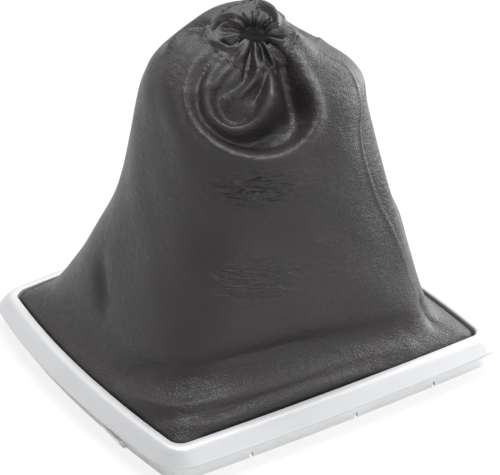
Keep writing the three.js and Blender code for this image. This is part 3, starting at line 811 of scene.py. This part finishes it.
def patch_share(nodes, links, place, direction, section, half_width, half_height, depth):
    """The wrinkles' depth inside one patch, fading to 0 at its edge."""
    middle = sleeve_point(np.radians([direction]), np.array([section]))[0] * MM
    scale = 1 / (np.array((half_width, half_width, half_height)) * MM)
    patch = nodes.new("ShaderNodeMapping")
    patch.inputs["Scale"].default_value = tuple(scale)
    patch.inputs["Location"].default_value = tuple(-middle * scale)
    links.new(place, patch.inputs["Vector"])
    length = nodes.new("ShaderNodeVectorMath")
    length.operation = "LENGTH"
    links.new(patch.outputs["Vector"], length.inputs[0])
    return ranged(nodes, links, length.outputs["Value"], PATCH_FADE, 1, depth, 0)


def wrinkle_height(nodes, links, place):
    """Short, mostly level lines, seen only inside the patches."""
    lines = nodes.new("ShaderNodeTexNoise")
    lines.noise_type = "RIDGED_MULTIFRACTAL"
    lines.inputs["Scale"].default_value = WRINKLE_SCALE
    lines.inputs["Detail"].default_value = 1
    lines.inputs["Offset"].default_value = 1
    lines.inputs["Distortion"].default_value = WRINKLE_WAVER
    links.new(stretched(nodes, links, place, (1, 1, WRINKLE_FLATTEN)), lines.inputs["Vector"])
    upper, lower = (patch_share(nodes, links, place, *patch) for patch in WRINKLED)
    both = nodes.new("ShaderNodeMath")
    both.operation = "ADD"
    links.new(upper, both.inputs[0])
    links.new(lower, both.inputs[1])
    return times(nodes, links, lines.outputs["Fac"], both.outputs["Value"])


def leather_colour(nodes, links, place, pebbles, wrinkles):
    """Dark hide, lighter on its pebbles, with a painted highlight on its wrinkles' crests."""
    slow = noise(nodes, links, place, TONE_SCALE, 3)
    tone = ramp(nodes, links, slow, (0.3, linear(37, 32, 34)), (0.7, linear(44, 38, 40)))
    speck = ramp(nodes, links, pebbles,
                 (0.0, linear(44, 41, 42)), (0.45, linear(120, 116, 117)), (1, linear(132, 128, 129)))
    mix = nodes.new("ShaderNodeMix")
    mix.data_type = "RGBA"
    mix.blend_type = "OVERLAY"
    mix.inputs["Factor"].default_value = 0.3
    links.new(tone, mix.inputs["A"])
    links.new(speck, mix.inputs["B"])
    # the wrinkles' crests are mixed towards pale grey, a painted highlight
    wrinkle_highlight = nodes.new("ShaderNodeMix")
    wrinkle_highlight.data_type = "RGBA"
    links.new(ranged(nodes, links, wrinkles, *WRINKLE_HIGHLIGHT_RANGE, 0, 0.5), wrinkle_highlight.inputs["Factor"])
    links.new(mix.outputs["Result"], wrinkle_highlight.inputs["A"])
    wrinkle_highlight.inputs["B"].default_value = linear(150, 147, 148)
    return wrinkle_highlight.outputs["Result"]


def leather_material():
    """Pebbled leather with creases, fine wrinkles and a low sheen."""
    material, nodes, links, shader = new_material("pebbled_leather")
    place = nodes.new("ShaderNodeTexCoord").outputs["Object"]
    pebbles = pebble_height(nodes, links, place)
    drawn_out = stretched(nodes, links, place, (1, 1, CREASE_FLATTEN), CREASE_TILT)
    creases = noise(nodes, links, drawn_out, CREASE_SCALE, 5, 0.62)
    fine = noise(nodes, links, place, GRAIN_SCALE, 2)
    wrinkles = wrinkle_height(nodes, links, place)
    links.new(leather_colour(nodes, links, place, pebbles, wrinkles), shader.inputs["Base Color"])
    links.new(ranged(nodes, links, creases, 0.3, 0.7, 0.34, 0.46), shader.inputs["Roughness"])
    shader.inputs["Specular IOR Level"].default_value = 0.5
    shader.inputs["Sheen Weight"].default_value = 0.05
    shader.inputs["Sheen Roughness"].default_value = 0.45
    shader.inputs["Sheen Tint"].default_value = linear(225, 220, 218)
    # strengths and depths in metres, from the pebbles to the wrinkles
    first = bump(nodes, links, pebbles, 0.5, 0.00014)
    second = bump(nodes, links, creases, 0.5, 0.0008, first)
    third = bump(nodes, links, fine, 0.15, 0.00006, second)
    links.new(bump(nodes, links, wrinkles, 0.8, 0.0006, third), shader.inputs["Normal"])
    return material


# Patterns of the other materials, by count per metre
FLAKE_SCALE = 5200
SILVER_TONE_SCALE = 30
PLAIN_TONE_SCALE = 60


def silver_material():
    """Satin silver lacquer with a fine flake."""
    material, nodes, links, shader = new_material("satin_silver")
    place = nodes.new("ShaderNodeTexCoord").outputs["Object"]
    flake = noise(nodes, links, place, FLAKE_SCALE, 1)
    slow = noise(nodes, links, place, SILVER_TONE_SCALE, 2)
    tone = ramp(nodes, links, slow, (0.3, linear(208, 209, 211)), (0.7, linear(213, 214, 216)))
    links.new(tone, shader.inputs["Base Color"])
    shader.inputs["Metallic"].default_value = 0.2
    rough = ranged(nodes, links, flake, 0.3, 0.7, 0.34, 0.42)
    links.new(rough, shader.inputs["Roughness"])
    links.new(bump(nodes, links, flake, 0.08, 0.00003), shader.inputs["Normal"])
    return material


def plain_material(name, low, high, roughness, grain, metallic=0.0):
    """Moulded or drawn stock: a slight change of tone, an uneven gloss and a fine grain."""
    material, nodes, links, shader = new_material(name)
    place = nodes.new("ShaderNodeTexCoord").outputs["Object"]
    slow = noise(nodes, links, place, PLAIN_TONE_SCALE, 3)
    fine = noise(nodes, links, place, grain, 2)
    links.new(ramp(nodes, links, slow, (0.3, low), (0.7, high)), shader.inputs["Base Color"])
    links.new(ranged(nodes, links, fine, 0.3, 0.7, roughness - 0.05, roughness + 0.05),
              shader.inputs["Roughness"])
    shader.inputs["Metallic"].default_value = metallic
    links.new(bump(nodes, links, fine, 0.15, 0.00005), shader.inputs["Normal"])
    return material


def dress(piece, material):
    """Gives a piece one material."""
    piece.data.materials.clear()
    piece.data.materials.append(material)


# Floor and sky: the sky's strength as light and its share at the zenith, the heights between which it
# darkens, how much of the floor glows for the camera, and the floor's size and drop in metres
WORLD_LIGHT = 0.5
ZENITH = 0.12
ZENITH_RANGE = (0.3, 0.95)
FLOOR_GLOW = 0.82
FLOOR_SIZE = 6
FLOOR_DROP = 0.0002


def background_rays(tree):
    """1 for the rays that see the background: camera, glossy and transmission."""
    path = tree.nodes.new("ShaderNodeLightPath")
    value = path.outputs["Is Camera Ray"]
    for kind in ("Is Glossy Ray", "Is Transmission Ray"):
        most = tree.nodes.new("ShaderNodeMath")
        most.operation = "MAXIMUM"
        tree.links.new(value, most.inputs[0])
        tree.links.new(path.outputs[kind], most.inputs[1])
        value = most.outputs["Value"]
    return value


def white_floor():
    """A pale floor that looks white behind the object and still takes its shadow."""
    material, nodes, links, shader = new_material("white_sweep")
    shader.inputs["Base Color"].default_value = linear(244, 244, 244)
    shader.inputs["Roughness"].default_value = 0.9
    shader.inputs["Specular IOR Level"].default_value = 0.1
    output = next(node for node in nodes if node.type == "OUTPUT_MATERIAL")
    glow = nodes.new("ShaderNodeEmission")
    glow.inputs["Strength"].default_value = 1
    share = ranged(nodes, links, background_rays(material.node_tree), 0, 1, 0, FLOOR_GLOW)
    blend = nodes.new("ShaderNodeMixShader")
    links.new(share, blend.inputs["Fac"])
    links.new(shader.outputs["BSDF"], blend.inputs[1])
    links.new(glow.outputs["Emission"], blend.inputs[2])
    links.new(blend.outputs["Shader"], output.inputs["Surface"])
    bpy.ops.mesh.primitive_plane_add(size=FLOOR_SIZE, location=(0, 0, -FLOOR_DROP))
    floor = bpy.context.object
    floor.name = "floor"
    dress(floor, material)


def studio_sky():
    """A white sky, dimmer as light than as a background and darker towards the zenith."""
    world = bpy.data.worlds.new("studio")
    world.use_nodes = True
    tree = world.node_tree
    nodes, links = tree.nodes, tree.links
    sky = nodes["Background"]
    way = nodes.new("ShaderNodeSeparateXYZ")
    links.new(nodes.new("ShaderNodeTexCoord").outputs["Generated"], way.inputs["Vector"])
    seen = ranged(nodes, links, background_rays(tree), 0, 1, WORLD_LIGHT, 1)
    height = ranged(nodes, links, way.outputs["Z"], *ZENITH_RANGE, 1, ZENITH)
    links.new(times(nodes, links, seen, height), sky.inputs["Strength"])
    sky.inputs["Color"].default_value = (1, 1, 1, 1)
    bpy.context.scene.world = world


# Lamps: name, direction, angle above the floor, distance, width, height and power in watts. They all
# look at the middle of the sleeve
LAMPS = (
    ("overhead", 60, 80, 0.8, 0.45, 0.4, 5.4),
    ("back", 60, 52, 0.9, 1.2, 0.5, 2.4),
    ("right", 4, 19, 0.9, 0.6, 0.7, 8.5),
    ("front", -88, 36, 1, 0.9, 0.5, 2.8),
)
LAMP_AIM = Vector((0, 0, 0.06))


def soft_light(name, azimuth, elevation, distance, width, height, power):
    """A rectangular lamp that looks at the middle of the sleeve from one direction."""
    turn, rise = math.radians(azimuth), math.radians(elevation)
    outward = Vector((math.cos(rise) * math.cos(turn), math.cos(rise) * math.sin(turn), math.sin(rise)))
    data = bpy.data.lights.new(name, "AREA")
    data.shape = "RECTANGLE"
    data.size = width
    data.size_y = height
    data.energy = power
    lamp = bpy.data.objects.new(name, data)
    bpy.context.scene.collection.objects.link(lamp)
    lamp.location = LAMP_AIM + outward * distance
    lamp.rotation_euler = (-outward).to_track_quat("-Z", "Y").to_euler()


set_camera()
bpy.context.scene.view_settings.view_transform = "Standard"

leather = leather_piece()
dress(leather, leather_material())
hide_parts("leather_gaiter")
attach(leather, "root")
thread = stitches()
dress(thread, plain_material("dark_thread", linear(22, 21, 22), linear(34, 32, 33), 0.7, 4200))
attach(thread, "root")

trim = trim_piece()
dress(trim, silver_material())
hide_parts("trim_bezel")
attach(trim, "root")

dress(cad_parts["carrier_frame"],
      plain_material("moulded_grey", linear(235, 236, 237), linear(241, 242, 243), 0.5, 1800))
dress(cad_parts["neck_elastic"],
      plain_material("covered_elastic", linear(24, 24, 25), linear(34, 34, 35), 0.8, 2400))
steel = plain_material("bright_wire", linear(150, 150, 148), linear(176, 176, 173), 0.3, 3000, 1.0)
for name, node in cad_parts.items():
    if name.startswith("hem_staple"):
        dress(node, steel)

white_floor()
studio_sky()
for lamp in LAMPS:
    soft_light(*lamp)
